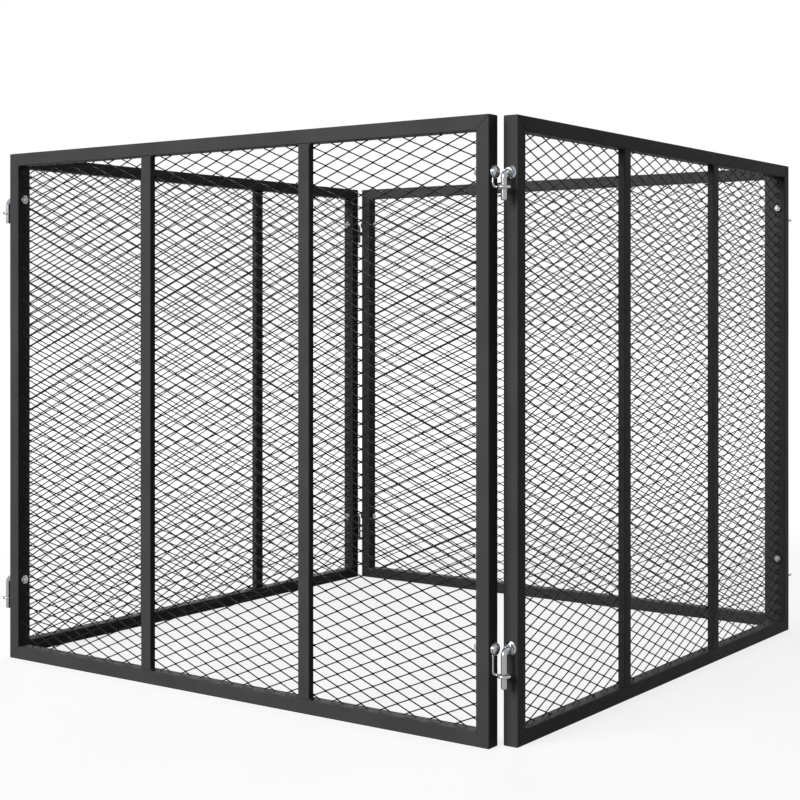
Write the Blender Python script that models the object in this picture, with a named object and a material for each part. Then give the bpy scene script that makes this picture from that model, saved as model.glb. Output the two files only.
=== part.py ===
"""Square wire compost bin, open at the top and the bottom.

Four like panels stand on edge. Each is a mitred tube frame with two upright bars and a diamond
mesh behind them. Each panel carries hook bolts on its left end and eyes on its right end, seen
from outside, and a hook hangs in the next panel's eye at the top and the bottom of every corner.

Metres, +Z up. The origin is on the ground in the middle of the bin, and the front faces -Y.
"""

import math

import bmesh
import bpy
from mathutils import Matrix, Vector

# Panel
PANEL_WIDTH = 0.914
PANEL_HEIGHT = 0.813
TUBE_FACE = 0.020
TUBE_DEPTH = 0.022
TUBE_WALL = 0.0015
TUBE_CORNER_RADIUS = 0.0025
BAR_COUNT = 2
BAR_FACE = 0.020
BAR_DEPTH = 0.011

# Mesh, drawn about four times coarser than the real 51 by 20 mm diamonds
DIAMOND_WIDTH = 0.194
DIAMOND_HEIGHT = 0.0813
STRAND_WIDTH = 0.003
STRAND_THICKNESS = 0.002

# Hinges: height of the eyes from the nearer edge, height of the bolts over the eyes, and how far
# the metal of the eye's arm lies under the faces of its flat end
CORNER_GAP = 0.005
EYE_INSET = 0.094
TOP_BOLT_RISE = 0.020
BOTTOM_BOLT_RISE = 0.033
HOOK_DIAMETER = 0.008
HOOK_BEND_RADIUS = 0.008
HOOK_TAIL = 0.017
HOOK_CHAMFER = 0.0012
FLANGE_DIAMETER = 0.018
FLANGE_THICKNESS = 0.0018
HOOK_NUT_FLATS = 0.013
HOOK_NUT_HEIGHT = 0.0042
EYE_WIRE_DIAMETER = 0.0045
EYE_PLATE_DIAMETER = 0.0175
EYE_PLATE_THICKNESS = 0.003
ARM_COVER = 0.0001
BOLT_DIAMETER = 0.006
BOLT_HEAD_DIAMETER = 0.016
BOLT_HEAD_HEIGHT = 0.004
BOLT_NUT_FLATS = 0.010
BOLT_NUT_HEIGHT = 0.005
THREAD_END = 0.003

# Clearances
SEAT_GAP = 0.0003
HOLE_CLEARANCE = 0.0004
EYE_CLEARANCE = 0.0007
NET_CLEARANCE = 0.001

# Facets
CORNER_STEPS = 2
ROD_SIDES = 10
WIRE_SIDES = 6
RING_STEPS = 12
BEND_STEPS = 4
DOME_STEPS = 3
SMOOTH_BELOW = math.radians(40)
MERGE_DISTANCE = 1e-6

# What follows from the sizes above
PIN_OFFSET = CORNER_GAP + TUBE_DEPTH / 2
PIN_SPACING = PANEL_WIDTH + 2 * PIN_OFFSET
STILE_INNER = PIN_OFFSET + TUBE_FACE
NET_WIDTH = PANEL_WIDTH - 2 * (TUBE_FACE + SEAT_GAP)
NET_HEIGHT = PANEL_HEIGHT - 2 * (TUBE_FACE + SEAT_GAP)
NET_FRONT = BAR_DEPTH - TUBE_DEPTH / 2 + SEAT_GAP
EYE_RADIUS = HOOK_DIAMETER / 2 + EYE_CLEARANCE + EYE_WIRE_DIAMETER / 2
HINGES = (
    ("top", PANEL_HEIGHT - EYE_INSET, TOP_BOLT_RISE),
    ("bottom", EYE_INSET, BOTTOM_BOLT_RISE),
)

# Name, turn about Z and the end that the panel swings on, -1 for its hooks and 1 for its eyes
PANELS = (
    ("front", 0.0, -1),
    ("right", math.pi / 2, 1),
    ("back", math.pi, -1),
    ("left", -math.pi / 2, -1),
)


def clear_scene():
    for obj in list(bpy.data.objects):
        bpy.data.objects.remove(obj)


def material(name, colour, roughness, metallic):
    made = bpy.data.materials.new(name)
    made.use_nodes = True
    shader = made.node_tree.nodes["Principled BSDF"]
    shader.inputs["Base Color"].default_value = (*colour, 1.0)
    shader.inputs["Roughness"].default_value = roughness
    shader.inputs["Metallic"].default_value = metallic
    return made


def mesh_of(bm, name, smooth=False):
    """The bmesh as mesh data with its faces pointing out. A transform leaves the old normals behind."""
    bm.normal_update()
    bmesh.ops.recalc_face_normals(bm, faces=bm.faces)
    mesh = bpy.data.meshes.new(name)
    bm.to_mesh(mesh)
    bm.free()
    if smooth:
        mesh.shade_smooth()
        mesh.set_sharp_from_angle(angle=SMOOTH_BELOW)
    return mesh


def boolean(base, tools, operation):
    """New mesh data: the base with each tool joined to it or cut from it."""
    scene = bpy.context.scene.collection
    work = bpy.data.objects.new("work", base)
    scene.objects.link(work)
    helpers = []
    for tool in tools:
        helper = bpy.data.objects.new("tool", tool)
        helper.hide_render = True
        helper.display_type = "WIRE"
        scene.objects.link(helper)
        helpers.append(helper)
        modifier = work.modifiers.new("tool", "BOOLEAN")
        modifier.operation = operation
        modifier.solver = "EXACT"
        modifier.object = helper
    graph = bpy.context.evaluated_depsgraph_get()
    result = bpy.data.meshes.new_from_object(work.evaluated_get(graph))
    result.name = base.name
    for obj in (work, *helpers):
        bpy.data.objects.remove(obj)
    return result


def rounded_rectangle(face, depth, radius, steps):
    """Outline of a tube, from its outer edge at 0 to the face, with the corners as arcs."""
    points = []
    corners = ((face, depth / 2, 0), (0, depth / 2, 1), (0, -depth / 2, 2), (face, -depth / 2, 3))
    for across, deep, quarter in corners:
        centre_across = across - math.copysign(radius, across - face / 2)
        centre_deep = deep - math.copysign(radius, deep)
        for step in range(steps + 1):
            angle = (quarter + step / steps) * math.pi / 2
            points.append(
                (centre_across + radius * math.cos(angle), centre_deep + radius * math.sin(angle))
            )
    return points


def tube_mesh(name, face, depth, end_at):
    """Hollow tube along Z. end_at gives how far each end lies from the middle, by the place across."""
    outer = rounded_rectangle(face, depth, TUBE_CORNER_RADIUS, CORNER_STEPS)
    inner = [
        (face - TUBE_WALL, depth / 2 - TUBE_WALL),
        (TUBE_WALL, depth / 2 - TUBE_WALL),
        (TUBE_WALL, TUBE_WALL - depth / 2),
        (face - TUBE_WALL, TUBE_WALL - depth / 2),
    ]
    bm = bmesh.new()
    rings = []
    for side in (-1, 1):
        for outline in (outer, inner):
            rings.append([bm.verts.new((u, v, side * end_at(u))) for u, v in outline])
    low_outer, low_inner, high_outer, high_inner = rings
    for low, high in ((low_outer, high_outer), (low_inner, high_inner)):
        for k in range(len(low)):
            following = (k + 1) % len(low)
            bm.faces.new((low[k], low[following], high[following], high[k]))
    for ring_outer, ring_inner in ((low_outer, low_inner), (high_outer, high_inner)):
        for corner in range(4):
            first = corner * (CORNER_STEPS + 1)
            for k in range(first, first + CORNER_STEPS):
                bm.faces.new((ring_outer[k], ring_outer[k + 1], ring_inner[corner]))
            last = first + CORNER_STEPS
            after = (last + 1) % len(ring_outer)
            beside = (corner + 1) % 4
            bm.faces.new((ring_outer[last], ring_outer[after], ring_inner[beside], ring_inner[corner]))
    return mesh_of(bm, name, smooth=True)


def mitred_tube(name, length):
    """Frame member along Z whose ends are cut at 45 degrees, longest on its outer edge."""
    play = SEAT_GAP / math.sqrt(2)
    return tube_mesh(name, TUBE_FACE, TUBE_DEPTH, lambda across: length / 2 - across - play)


def placed(mesh, matrix):
    """A copy of the mesh data moved by the matrix."""
    copy = mesh.copy()
    copy.transform(matrix)
    return copy


def cylinder(radius, start, end, sides):
    """Round bar between two points."""
    bm = bmesh.new()
    length = (end - start).length
    bmesh.ops.create_cone(
        bm, cap_ends=True, segments=sides, radius1=radius, radius2=radius, depth=length
    )
    turn = Vector((0, 0, 1)).rotation_difference(end - start).to_matrix().to_4x4()
    bm.transform(Matrix.Translation((start + end) / 2) @ turn)
    return mesh_of(bm, "cylinder")


def rail_mesh():
    """Bottom rail, its outer edge down on Z = 0 and its middle at X = 0."""
    stand = Matrix(((0, 0, 1, 0), (0, 1, 0, 0), (1, 0, 0, 0), (0, 0, 0, 1)))
    return placed(mitred_tube("rail", PANEL_WIDTH), Matrix.Scale(-1, 4, (1, 0, 0)) @ stand)


def stile_mesh(bolt_diameter):
    """Stile on the left of the panel, its outer edge at X = 0, drilled through for its two bolts."""
    tube = placed(
        mitred_tube("stile", PANEL_HEIGHT), Matrix.Translation((0, 0, PANEL_HEIGHT / 2))
    )
    drills = []
    for _, height, rise in HINGES:
        drills.append(
            cylinder(
                bolt_diameter / 2 + HOLE_CLEARANCE,
                Vector((-TUBE_FACE, 0, height + rise)),
                Vector((2 * TUBE_FACE, 0, height + rise)),
                ROD_SIDES,
            )
        )
    return boolean(tube, drills, "DIFFERENCE")


def bar_mesh():
    """Upright bar between the rails, flush with the front of the frame and centred on X = 0."""
    length = PANEL_HEIGHT - 2 * (TUBE_FACE + SEAT_GAP)
    bar = tube_mesh("bar", BAR_FACE, BAR_DEPTH, lambda across: length / 2)
    forward = (BAR_DEPTH - TUBE_DEPTH) / 2
    return placed(bar, Matrix.Translation((-BAR_FACE / 2, forward, PANEL_HEIGHT / 2)))


def net_mesh():
    """Diamond mesh in one plane: a rhombus where strands cross, joined by straight strands.

    The crossings lie on half pitches, and those nearest the edge are half a pitch from it."""
    columns = max(1, round(NET_WIDTH / DIAMOND_WIDTH - 0.5))
    rows = max(1, round(NET_HEIGHT / DIAMOND_HEIGHT - 0.5))
    step_x = NET_WIDTH / (2 * columns + 1)
    step_z = NET_HEIGHT / (2 * rows + 1)
    slope = step_z / step_x
    half_up = STRAND_WIDTH / 2 * math.hypot(1, slope)
    half_across = half_up / slope
    parity = (columns + rows + 1) % 2
    bm = bmesh.new()
    crossings = {}
    for i in range(-columns, columns + 1):
        for j in range(-rows, rows + 1):
            if (i + j) % 2 == parity:
                x, z = i * step_x, j * step_z
                corners = {
                    (1, 0): bm.verts.new((x + half_across, 0, z)),
                    (0, 1): bm.verts.new((x, 0, z + half_up)),
                    (-1, 0): bm.verts.new((x - half_across, 0, z)),
                    (0, -1): bm.verts.new((x, 0, z - half_up)),
                }
                crossings[i, j] = corners
                bm.faces.new(corners.values())
    for (i, j), corners in crossings.items():
        for right in (-1, 1):
            for up in (-1, 1):
                side, tip = corners[right, 0], corners[0, up]
                beyond = crossings.get((i + right, j + up))
                if beyond is None:
                    ends = strand_ends(side.co, tip.co, right, up * slope * right, i + right, columns)
                    far_side, far_tip = (bm.verts.new(point) for point in ends)
                elif right == 1:
                    far_side, far_tip = beyond[0, -up], beyond[-1, 0]
                else:
                    continue
                bm.faces.new((side, far_side, far_tip, tip))
    thickness = bmesh.ops.extrude_face_region(bm, geom=list(bm.faces))["geom"]
    moved = [part for part in thickness if isinstance(part, bmesh.types.BMVert)]
    bmesh.ops.translate(bm, verts=moved, vec=(0, STRAND_THICKNESS, 0))
    bmesh.ops.translate(bm, verts=bm.verts, vec=(0, NET_FRONT, PANEL_HEIGHT / 2))
    return without_loose_ends(boolean(mesh_of(bm, "net"), bolt_end_rooms(), "DIFFERENCE"))


def bolt_end_rooms():
    """The rooms that the bolts' inner ends need, in a panel centred on X = 0."""
    rooms = []
    for side, flats, height_of_nut in (
        (-1, HOOK_NUT_FLATS, HOOK_NUT_HEIGHT),
        (1, BOLT_NUT_FLATS, BOLT_NUT_HEIGHT),
    ):
        stile = side * (PANEL_WIDTH / 2 - TUBE_FACE)
        reach = SEAT_GAP + height_of_nut + THREAD_END + NET_CLEARANCE
        for _, height, rise in HINGES:
            start = Vector((stile + side * TUBE_FACE / 2, 0, height + rise))
            end = Vector((stile - side * reach, 0, height + rise))
            radius = flats / math.sqrt(3) + NET_CLEARANCE
            rooms.append(cylinder(radius, start, end, RING_STEPS))
    return rooms


def without_loose_ends(mesh):
    """The mesh data with only its largest connected piece kept."""
    bm = bmesh.new()
    bm.from_mesh(mesh)
    unseen = set(bm.verts)
    pieces = []
    while unseen:
        piece = set()
        to_visit = [unseen.pop()]
        while to_visit:
            vert = to_visit.pop()
            piece.add(vert)
            for edge in vert.link_edges:
                other = edge.other_vert(vert)
                if other in unseen:
                    unseen.remove(other)
                    to_visit.append(other)
        pieces.append(piece)
    pieces.sort(key=len)
    loose = [vert for piece in pieces[:-1] for vert in piece]
    bmesh.ops.delete(bm, geom=loose, context="VERTS")
    return mesh_of(bm, mesh.name)


def strand_ends(side, tip, right, slope, column_beyond, columns):
    """Where a strand's two edges, from a crossing's side and tip corners, meet the net's edge."""
    if abs(column_beyond) > columns:
        edge = right * NET_WIDTH / 2
        return [Vector((edge, 0, at.z + slope * (edge - at.x))) for at in (side, tip)]
    edge = math.copysign(NET_HEIGHT / 2, slope * right)
    return [Vector((at.x + (edge - at.z) / slope, 0, edge)) for at in (side, tip)]


def swept_rod(name, path, radii, sides):
    """Rod of the given radii along a path of points, with flat ends."""
    bm = bmesh.new()
    previous = None
    direction = (path[1] - path[0]).normalized()
    across = direction.orthogonal().normalized()
    for k, point in enumerate(path):
        before = path[max(k - 1, 0)]
        after = path[min(k + 1, len(path) - 1)]
        tangent = (after - before).normalized()
        across = direction.rotation_difference(tangent) @ across
        direction = tangent
        other = direction.cross(across)
        ring = []
        for side in range(sides):
            angle = 2 * math.pi * (side + 0.5) / sides
            offset = across * math.cos(angle) + other * math.sin(angle)
            ring.append(bm.verts.new(point + offset * radii[k]))
        if previous is None:
            bm.faces.new(ring)
        else:
            for side in range(sides):
                beside = (side + 1) % sides
                bm.faces.new((previous[side], previous[beside], ring[beside], ring[side]))
        previous = ring
    bm.faces.new(previous)
    return mesh_of(bm, name, smooth=True)


def turned(name, profile, sides):
    """Solid of revolution about X. The profile holds places along X and radii, from axis to axis."""
    bm = bmesh.new()
    verts = [bm.verts.new((along, radius, 0)) for along, radius in profile]
    edges = [bm.edges.new(pair) for pair in zip(verts, verts[1:])]
    bmesh.ops.spin(
        bm,
        geom=verts + edges,
        cent=(0, 0, 0),
        axis=(1, 0, 0),
        angle=2 * math.pi,
        steps=sides,
        use_merge=True,
    )
    bmesh.ops.remove_doubles(bm, verts=bm.verts, dist=MERGE_DISTANCE)
    return mesh_of(bm, name, smooth=True)


def hexagon(across_flats, start, height):
    """Hexagonal nut blank along X, two flats upright, from start onwards."""
    bm = bmesh.new()
    radius = across_flats / math.sqrt(3)
    bmesh.ops.create_cone(
        bm, cap_ends=True, segments=6, radius1=radius, radius2=radius, depth=height
    )
    lay = Matrix.Rotation(math.pi / 2, 4, "Y")
    bm.transform(Matrix.Translation((start + height / 2, 0, 0)) @ lay)
    return mesh_of(bm, "hexagon")


def hook_bolt_mesh(rise):
    """Hook bolt about its pin: threaded leg into the stile, bend, and the pin down through the eye.

    The stile lies towards +X, and the nut inside the panel is part of the piece."""
    end = STILE_INNER + SEAT_GAP + HOOK_NUT_HEIGHT + THREAD_END
    path = [Vector((end, 0, rise)), Vector((end - HOOK_CHAMFER, 0, rise))]
    for step in range(BEND_STEPS + 1):
        angle = step / BEND_STEPS * math.pi / 2
        along = HOOK_BEND_RADIUS * (1 - math.sin(angle))
        drop = HOOK_BEND_RADIUS * (1 - math.cos(angle))
        path.append(Vector((along, 0, rise - drop)))
    path += [Vector((0, 0, HOOK_CHAMFER - HOOK_TAIL)), Vector((0, 0, -HOOK_TAIL))]
    full = HOOK_DIAMETER / 2
    tip = full - HOOK_CHAMFER
    radii = [tip] + [full] * (len(path) - 2) + [tip]
    rod = swept_rod("hook_bolt", path, radii, ROD_SIDES)
    nut = hexagon(HOOK_NUT_FLATS, STILE_INNER + SEAT_GAP, HOOK_NUT_HEIGHT)
    return boolean(rod, [placed(nut, Matrix.Translation((0, 0, rise)))], "UNION")


def flange_nut_mesh(rise):
    """Nut with a round flange against the stile's end, bored to clear the hook's leg."""
    seat = PIN_OFFSET - SEAT_GAP
    bevel = FLANGE_THICKNESS / 2
    flange = turned(
        "flange_nut",
        [
            (seat - FLANGE_THICKNESS, 0),
            (seat - FLANGE_THICKNESS, FLANGE_DIAMETER / 2 - bevel),
            (seat - bevel, FLANGE_DIAMETER / 2),
            (seat, FLANGE_DIAMETER / 2),
            (seat, 0),
        ],
        RING_STEPS,
    )
    height = FLANGE_THICKNESS + HOOK_NUT_HEIGHT
    nut = hexagon(HOOK_NUT_FLATS, seat - height, height - bevel)
    bore = cylinder(
        HOOK_DIAMETER / 2 + HOLE_CLEARANCE,
        Vector((seat - 2 * height, 0, 0)),
        Vector((seat + height, 0, 0)),
        ROD_SIDES,
    )
    solid = boolean(boolean(flange, [nut], "UNION"), [bore], "DIFFERENCE")
    return placed(solid, Matrix.Translation((0, 0, rise)))


def torus(radius, wire_radius):
    """Ring about Z."""
    bm = bmesh.new()
    rings = []
    for k in range(RING_STEPS):
        turn = Matrix.Rotation(2 * math.pi * (k + 0.5) / RING_STEPS, 3, "Z")
        ring = []
        for side in range(WIRE_SIDES):
            angle = 2 * math.pi * side / WIRE_SIDES
            at = Vector(
                (radius + wire_radius * math.cos(angle), 0, wire_radius * math.sin(angle))
            )
            ring.append(bm.verts.new(turn @ at))
        rings.append(ring)
    for k, ring in enumerate(rings):
        following = rings[(k + 1) % RING_STEPS]
        for side in range(WIRE_SIDES):
            beside = (side + 1) % WIRE_SIDES
            bm.faces.new((ring[side], ring[beside], following[beside], following[side]))
    return mesh_of(bm, "eye", smooth=True)


def eye_mesh(rise):
    """Forged eye about its pin: a ring, an arm that sweeps up, and a flat end under the bolt's head.

    The stile lies towards -X, and the arm stands towards the outside of the bin."""
    wire = EYE_WIRE_DIAMETER / 2
    against_stile = SEAT_GAP + wire - PIN_OFFSET
    in_plate = SEAT_GAP + EYE_PLATE_THICKNESS / 2 - PIN_OFFSET
    sweep = EYE_PLATE_DIAMETER / 4
    plate_foot = rise - EYE_PLATE_DIAMETER / 2
    flat = EYE_PLATE_THICKNESS / 2 - ARM_COVER
    path = [
        Vector((-EYE_RADIUS, 0, 0)),
        Vector((against_stile + wire / 2, -sweep / 2, wire / 2)),
        Vector((against_stile, -sweep, 2 * wire)),
        Vector((against_stile, -sweep, plate_foot - wire)),
        Vector((in_plate, -sweep, plate_foot)),
        Vector((in_plate, -sweep, plate_foot + wire)),
    ]
    arm = swept_rod("arm", path, [wire] * 4 + [flat] * 2, WIRE_SIDES)
    seat = SEAT_GAP - PIN_OFFSET
    plate = cylinder(
        EYE_PLATE_DIAMETER / 2,
        Vector((seat, 0, rise)),
        Vector((seat + EYE_PLATE_THICKNESS, 0, rise)),
        RING_STEPS,
    )
    bore = cylinder(
        BOLT_DIAMETER / 2 + HOLE_CLEARANCE,
        Vector((seat - wire, 0, rise)),
        Vector((seat + 3 * wire, 0, rise)),
        ROD_SIDES,
    )
    ring = torus(EYE_RADIUS, wire)
    return boolean(boolean(ring, [arm, plate], "UNION"), [bore], "DIFFERENCE")


def eye_bolt_mesh(rise):
    """Domed bolt that clamps an eye to the stile's end, with its nut inside the panel."""
    under_head = 2 * SEAT_GAP + EYE_PLATE_THICKNESS - PIN_OFFSET
    end = -(STILE_INNER + SEAT_GAP + BOLT_NUT_HEIGHT + THREAD_END)
    head, shank = BOLT_HEAD_DIAMETER / 2, BOLT_DIAMETER / 2
    profile = [(under_head + BOLT_HEAD_HEIGHT, 0)]
    for step in range(1, DOME_STEPS + 1):
        angle = step / DOME_STEPS * math.pi / 2
        profile.append((under_head + BOLT_HEAD_HEIGHT * math.cos(angle), head * math.sin(angle)))
    profile += [(under_head, shank), (end, shank), (end, 0)]
    bolt = turned("eye_bolt", profile, ROD_SIDES)
    nut = hexagon(BOLT_NUT_FLATS, -STILE_INNER - SEAT_GAP - BOLT_NUT_HEIGHT, BOLT_NUT_HEIGHT)
    return placed(boolean(bolt, [nut], "UNION"), Matrix.Translation((0, 0, rise)))


def add(name, mesh, finish, parent, place, turn=0.0):
    """One named sub-part, placed in its panel's frame."""
    obj = bpy.data.objects.new(name, mesh)
    bpy.context.scene.collection.objects.link(obj)
    if not mesh.materials:
        mesh.materials.append(finish)
    obj.parent = parent
    obj.location = place
    obj.rotation_euler = (0, turn, 0)
    return obj


def panel_shapes():
    """The meshes that the four panels share."""
    shapes = {
        "rail": rail_mesh(),
        "hook_stile": stile_mesh(HOOK_DIAMETER),
        "eye_stile": placed(stile_mesh(BOLT_DIAMETER), Matrix.Rotation(math.pi, 4, "Z")),
        "bar": bar_mesh(),
        "net": net_mesh(),
    }
    for level, _, rise in HINGES:
        shapes[level] = {
            "hook_bolt": hook_bolt_mesh(rise),
            "hook_nut": flange_nut_mesh(rise),
            "eye": eye_mesh(rise),
            "eye_bolt": eye_bolt_mesh(rise),
        }
    return shapes


def build_panel(side, turn, swing_end, shapes, paint, zinc):
    """One panel under an empty that stands on the pin it swings on."""
    pivot = bpy.data.objects.new(f"{side}_panel", None)
    bpy.context.scene.collection.objects.link(pivot)
    corner = Vector((swing_end * PIN_SPACING / 2, -PIN_SPACING / 2, 0))
    pivot.location = Matrix.Rotation(turn, 3, "Z") @ corner
    pivot.rotation_euler = (0, 0, turn)
    middle = -swing_end * PIN_SPACING / 2

    def piece(name, mesh, finish, x, z, roll=0.0):
        add(f"{side}_{name}", mesh, finish, pivot, (middle + x, 0, z), roll)

    piece("bottom_rail", shapes["rail"], paint, 0, 0)
    piece("top_rail", shapes["rail"], paint, 0, PANEL_HEIGHT, math.pi)
    piece("left_stile", shapes["hook_stile"], paint, -PANEL_WIDTH / 2, 0)
    piece("right_stile", shapes["eye_stile"], paint, PANEL_WIDTH / 2, 0)
    for number in range(1, BAR_COUNT + 1):
        across = PANEL_WIDTH * (number / (BAR_COUNT + 1) - 0.5)
        piece(f"bar_{number}", shapes["bar"], paint, across, 0)
    piece("mesh", shapes["net"], paint, 0, 0)
    for level, height, _ in HINGES:
        set_of = shapes[level]
        piece(f"{level}_hook_bolt", set_of["hook_bolt"], zinc, -PIN_SPACING / 2, height)
        piece(f"{level}_hook_nut", set_of["hook_nut"], zinc, -PIN_SPACING / 2, height)
        piece(f"{level}_eye", set_of["eye"], zinc, PIN_SPACING / 2, height)
        piece(f"{level}_eye_bolt", set_of["eye_bolt"], zinc, PIN_SPACING / 2, height)


def main():
    clear_scene()
    paint = material("black powder coat on steel", (0.022, 0.022, 0.023), 0.5, 0.0)
    zinc = material("bright zinc plate on steel", (0.72, 0.73, 0.75), 0.28, 1.0)
    shapes = panel_shapes()
    for side, turn, swing_end in PANELS:
        build_panel(side, turn, swing_end, shapes, paint, zinc)


main()
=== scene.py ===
"""Square wire compost bin: the looks of its four hinged panels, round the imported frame.

Every panel has a mitred tube frame with two upright bars, an expanded diamond mesh behind them,
hook bolts on its left end and ring eyes on its right end. A piece is made once in the panel's own
frame (X along the panel, hooks at -X and eyes at +X, Y inwards, Z up), or about the pin that a
hook hangs on, and is then put on all four sides. Metres throughout.
"""

import math
from functools import partial

import bmesh
import bpy
from bpy.props import FloatProperty, FloatVectorProperty, IntProperty, PointerProperty
from mathutils import Matrix, Vector


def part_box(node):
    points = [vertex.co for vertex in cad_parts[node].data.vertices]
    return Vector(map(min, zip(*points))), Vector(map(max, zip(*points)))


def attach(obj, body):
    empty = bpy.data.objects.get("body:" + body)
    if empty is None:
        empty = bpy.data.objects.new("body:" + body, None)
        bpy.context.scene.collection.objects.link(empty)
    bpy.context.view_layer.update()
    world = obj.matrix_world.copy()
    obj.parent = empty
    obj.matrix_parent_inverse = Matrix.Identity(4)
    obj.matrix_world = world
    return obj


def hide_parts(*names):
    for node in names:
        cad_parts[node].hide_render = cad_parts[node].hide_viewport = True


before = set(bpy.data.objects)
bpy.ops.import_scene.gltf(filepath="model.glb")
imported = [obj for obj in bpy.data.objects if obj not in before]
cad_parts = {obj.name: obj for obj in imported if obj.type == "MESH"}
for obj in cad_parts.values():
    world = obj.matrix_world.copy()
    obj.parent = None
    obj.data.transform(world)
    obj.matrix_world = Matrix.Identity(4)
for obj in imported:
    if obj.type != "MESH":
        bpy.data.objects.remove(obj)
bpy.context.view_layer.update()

bl_info = {
    "name": "Wire Compost Bin",
    "version": (1, 0, 0),
    "blender": (4, 5, 0),
    "location": "View3D > Sidebar > Compost Bin",
    "description": "Builds the tubes, diamond mesh and corner fittings of a wire compost bin",
    "category": "Object",
}

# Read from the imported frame: the front panel's rails, left stile, first bar and mesh
RAIL_LOW, RAIL_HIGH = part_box("front_bottom_rail")
BAR_LOW, BAR_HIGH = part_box("front_bar_1")
NET_LOW, NET_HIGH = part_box("front_mesh")
PANEL_WIDTH = -2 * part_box("front_left_stile")[0].x
PANEL_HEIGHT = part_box("front_top_rail")[1].z
TUBE_FACE = RAIL_HIGH.z - RAIL_LOW.z
TUBE_DEPTH = RAIL_HIGH.y - RAIL_LOW.y
BAR_FACE = BAR_HIGH.x - BAR_LOW.x
BAR_DEPTH = BAR_HIGH.y - BAR_LOW.y
NET_WIDTH = NET_HIGH.x - NET_LOW.x
NET_HEIGHT = NET_HIGH.z - NET_LOW.z

# From the bin's axis to the middle of a panel's depth, from a panel's end to its hinge's pin, and
# from the middle of a panel's depth to that of its bars
PANEL_OUT = -(RAIL_LOW.y + RAIL_HIGH.y) / 2
PIN_OFFSET = PANEL_OUT - PANEL_WIDTH / 2
BAR_MIDDLE = (BAR_LOW.y + BAR_HIGH.y) / 2 + PANEL_OUT

# Names of the sides and their turns about Z; the front faces -Y
SIDES = (("front", 0.0), ("right", math.pi / 2), ("back", math.pi), ("left", -math.pi / 2))

# How finely round things are cut. The rings are those along one pitch of a thread
ROUND_STEPS = 48
ROD_SIDES = 24
CORNER_STEPS = 6
BEND_STEPS = 16
DOME_STEPS = 14
ARM_STEPS = 8
THREAD_RINGS = 5
FORGED_VOXEL = 0.0004

# The angle under which edges are smooth, and the distance under which points are one
SMOOTH_BELOW = math.radians(28)
MERGE_DISTANCE = 2e-6

# Gaps between a rod and the bore that it goes through, in a nut and in an eye
NUT_PLAY = 0.00005
EYE_PLAY = 0.0001


def linear(hex_code):
    """An sRGB hex colour as linear red, green, blue and alpha."""
    channels = [int(hex_code[k:k + 2], 16) / 255 for k in (1, 3, 5)]
    return tuple(
        c / 12.92 if c <= 0.04045 else ((c + 0.055) / 1.055) ** 2.4 for c in channels
    ) + (1.0,)


def measure(name, description, default, unit="LENGTH"):
    """A property that holds a length in metres, or an amount in another unit."""
    return FloatProperty(
        name=name, description=description, default=default, min=0.0, precision=5, unit=unit
    )


def whole(name, description, default):
    """A property that holds a whole number."""
    return IntProperty(name=name, description=description, default=default, min=1)


def colour(name, description, hex_code):
    """A property that holds a colour, written as sRGB hex and kept linear."""
    tone = linear(hex_code)
    return FloatVectorProperty(
        name=name, description=description, default=tone, size=4, min=0.0, max=1.0, subtype="COLOR"
    )


class TubeSizes(bpy.types.PropertyGroup):
    """Sizes of the square tube that the frame and the bars are made of."""

    wall: measure("Wall", "Thickness of the tube's steel", 0.0015)
    corner: measure("Corner radius", "Outer radius of the tube's corners", 0.0015)
    mitre_gap: measure("Mitre gap", "Hairline between two tubes at a mitre", 0.0001)
    groove: measure("Groove", "Depth of the groove that shows where two tubes meet", 0.0005)
    hook_hole: measure("Hook hole", "Diameter of the holes for the hook bolts", 0.0088)
    bolt_hole: measure("Bolt hole", "Diameter of the holes for the domed bolts", 0.0068)


class MeshSizes(bpy.types.PropertyGroup):
    """Sizes of the expanded diamond mesh."""

    columns: whole("Columns", "Crossings in half a row, from the middle", 21)
    rows: whole("Rows", "Crossings in half a column, from the middle", 44)
    strand: measure("Strand width", "Width of a strand's flat face", 0.0016)
    thickness: measure("Strand thickness", "Thickness of the expanded sheet", 0.0012)
    run: measure("Knuckle length", "How far two strands run side by side", 0.003)
    edge: measure("Strand edge", "Width of the rounded edges under the coating", 0.00025)
    behind_bars: measure("Behind the bars", "Gap between the bars' backs and the sheet", 0.0001)
    bolt_room: measure("Room round bolts", "Space cut out round the bolts' inner ends", 0.001)


class WeldSizes(bpy.types.PropertyGroup):
    """Sizes of the welds inside the frame, which the coat covers too."""

    bead: measure("Bead", "Width of the fillet bead at the side of a bar's end", 0.0032)
    ripple: measure("Ripple", "Pitch of the ripples along a bead", 0.0012)
    spot: measure("Spot weld", "Width of a spot that holds a strand's end to the frame", 0.0042)
    every: whole("Spot spacing", "Diamonds from one spot weld to the next", 3)
    seed: whole("Seed", "Seed of the welds' unevenness", 11)


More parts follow.
